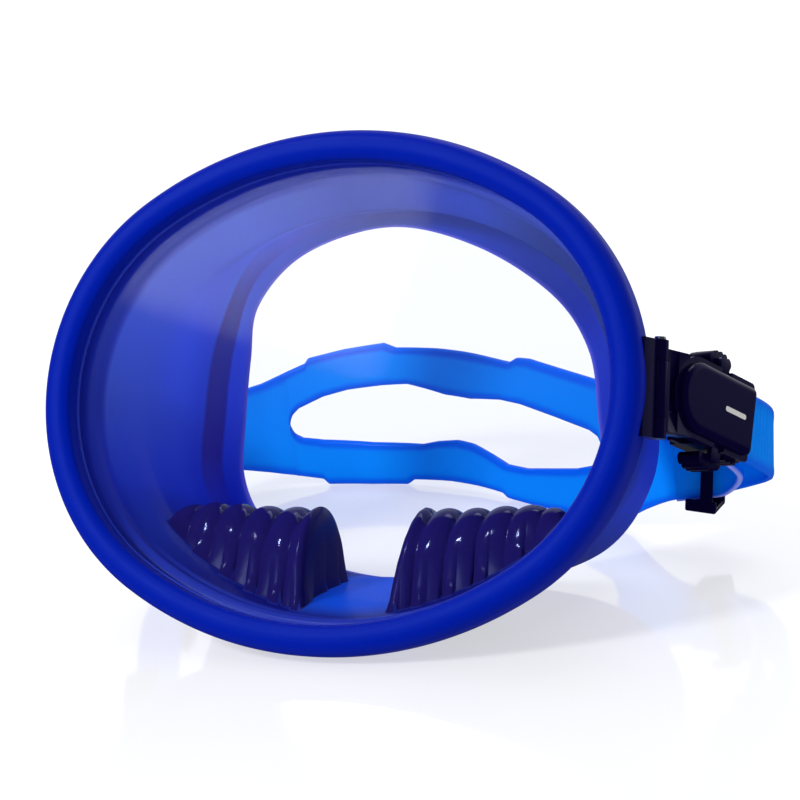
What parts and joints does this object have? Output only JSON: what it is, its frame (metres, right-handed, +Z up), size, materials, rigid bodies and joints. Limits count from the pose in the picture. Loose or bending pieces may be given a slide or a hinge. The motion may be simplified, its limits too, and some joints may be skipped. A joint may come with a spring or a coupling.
{
  "type": "diving mask",
  "caption": "Single-lens diving mask with an oval rim, silicone skirt with ribbed finger pockets, swivel buckles and a split head strap.",
  "frame": {"origin": "middle of the footprint of the resting mask, on the surface it rests on", "axes": "+X to the wearer's left, +Y from the lens to the strap's back, +Z up"},
  "size_m": [0.2048, 0.1444, 0.1254],
  "materials": {
    "rim_plastic": "satin moulded polycarbonate",
    "tempered_glass": "polished",
    "skirt_silicone": "glossy translucent silicone",
    "strap_silicone": "satin translucent silicone",
    "buckle_plastic": "gloss",
    "steel": "brushed"
  },
  "bodies": {
    "root": {"frame_ring": "rim_plastic", "retaining_ring": "rim_plastic", "lens": "tempered_glass", "skirt": "skirt_silicone", "strap": "strap_silicone", "right_bracket": "buckle_plastic", "right_hinge_pin": "steel", "left_bracket": "buckle_plastic", "left_hinge_pin": "steel"},
    "right_yoke": {"right_yoke": "buckle_plastic", "right_pivot_stud": "steel"},
    "right_buckle": {"right_buckle_base": "buckle_plastic", "right_buckle_cover": "buckle_plastic", "right_release_spring": "steel", "right_pawl_pin": "steel", "right_roller_axle": "steel"},
    "right_upper_button": {"right_upper_button": "buckle_plastic"},
    "right_lower_button": {"right_lower_button": "buckle_plastic"},
    "right_pawl": {"right_pawl": "buckle_plastic"},
    "right_roller": {"right_roller": "steel"},
    "right_keeper": {"right_keeper": "buckle_plastic"},
    "left_yoke": {"left_yoke": "buckle_plastic", "left_pivot_stud": "steel"},
    "left_buckle": {"left_buckle_base": "buckle_plastic", "left_buckle_cover": "buckle_plastic", "left_release_spring": "steel", "left_pawl_pin": "steel", "left_roller_axle": "steel"},
    "left_upper_button": {"left_upper_button": "buckle_plastic"},
    "left_lower_button": {"left_lower_button": "buckle_plastic"},
    "left_pawl": {"left_pawl": "buckle_plastic"},
    "left_roller": {"left_roller": "steel"},
    "left_keeper": {"left_keeper": "buckle_plastic"}
  },
  "joints": [
    {"name": "right_yoke_swing", "type": "hinge", "parent": "root", "child": "right_yoke", "pos_m": [0.08826, -0.03517, 0.06046], "axis": [0, -0.4147, -0.91], "range_deg": [-6, 30], "deforming": ["strap"]},
    {"name": "right_buckle_pitch", "type": "hinge", "parent": "right_yoke", "child": "right_buckle", "pos_m": [0.08826, -0.01925, 0.05321], "axis": [0.9537, -0.2736, 0.1247], "range_deg": [-20, 35], "deforming": ["strap"]},
    {"name": "right_upper_button_press", "type": "slide", "parent": "right_buckle", "child": "right_upper_button", "axis": [-0.0444, -0.5384, -0.8415], "range_m": [0, 0.0012]},
    {"name": "right_lower_button_press", "type": "slide", "parent": "right_buckle", "child": "right_lower_button", "axis": [0.0444, 0.5384, 0.8415], "range_m": [0, 0.0012]},
    {"name": "right_pawl_lift", "type": "hinge", "parent": "right_buckle", "child": "right_pawl", "pos_m": [0.09831, -0.00448, 0.04323], "axis": [0.0444, 0.5384, 0.8415], "range_deg": [0, 6.5]},
    {"name": "right_roller_spin", "type": "hinge", "parent": "right_buckle", "child": "right_roller", "pos_m": [0.09156, -0.00872, 0.0463], "axis": [0.0444, 0.5384, 0.8415], "continuous": true},
    {"name": "right_keeper_slide", "type": "slide", "parent": "right_yoke", "child": "right_keeper", "axis": [0.9919, -0.0346, -0.1219], "range_m": [-0.004, 0.004], "deforming": ["strap"]},
    {"name": "left_yoke_swing", "type": "hinge", "parent": "root", "child": "left_yoke", "pos_m": [-0.08174, -0.03517, 0.06046], "axis": [0, 0.4147, 0.91], "range_deg": [-6, 30], "deforming": ["strap"]},
    {"name": "left_buckle_pitch", "type": "hinge", "parent": "left_yoke", "child": "left_buckle", "pos_m": [-0.08174, -0.01925, 0.05321], "axis": [0.9537, 0.2736, -0.1247], "range_deg": [-20, 35], "deforming": ["strap"]},
    {"name": "left_upper_button_press", "type": "slide", "parent": "left_buckle", "child": "left_upper_button", "axis": [0.0444, -0.5384, -0.8415], "range_m": [0, 0.0012]},
    {"name": "left_lower_button_press", "type": "slide", "parent": "left_buckle", "child": "left_lower_button", "axis": [-0.0444, 0.5384, 0.8415], "range_m": [0, 0.0012]},
    {"name": "left_pawl_lift", "type": "hinge", "parent": "left_buckle", "child": "left_pawl", "pos_m": [-0.09179, -0.00448, 0.04323], "axis": [0.0444, -0.5384, -0.8415], "range_deg": [0, 6.5]},
    {"name": "left_roller_spin", "type": "hinge", "parent": "left_buckle", "child": "left_roller", "pos_m": [-0.08504, -0.00872, 0.0463], "axis": [0.0444, -0.5384, -0.8415], "continuous": true},
    {"name": "left_keeper_slide", "type": "slide", "parent": "left_yoke", "child": "left_keeper", "axis": [-0.0409, 0.9652, -0.2582], "range_m": [-0.004, 0.004], "deforming": ["strap"]}
  ],
  "couplings": [
    {"joint": "right_pawl_lift", "follows": "right_upper_button_press", "rad_per_m": 93},
    {"joint": "left_pawl_lift", "follows": "left_upper_button_press", "rad_per_m": 93}
  ]
}
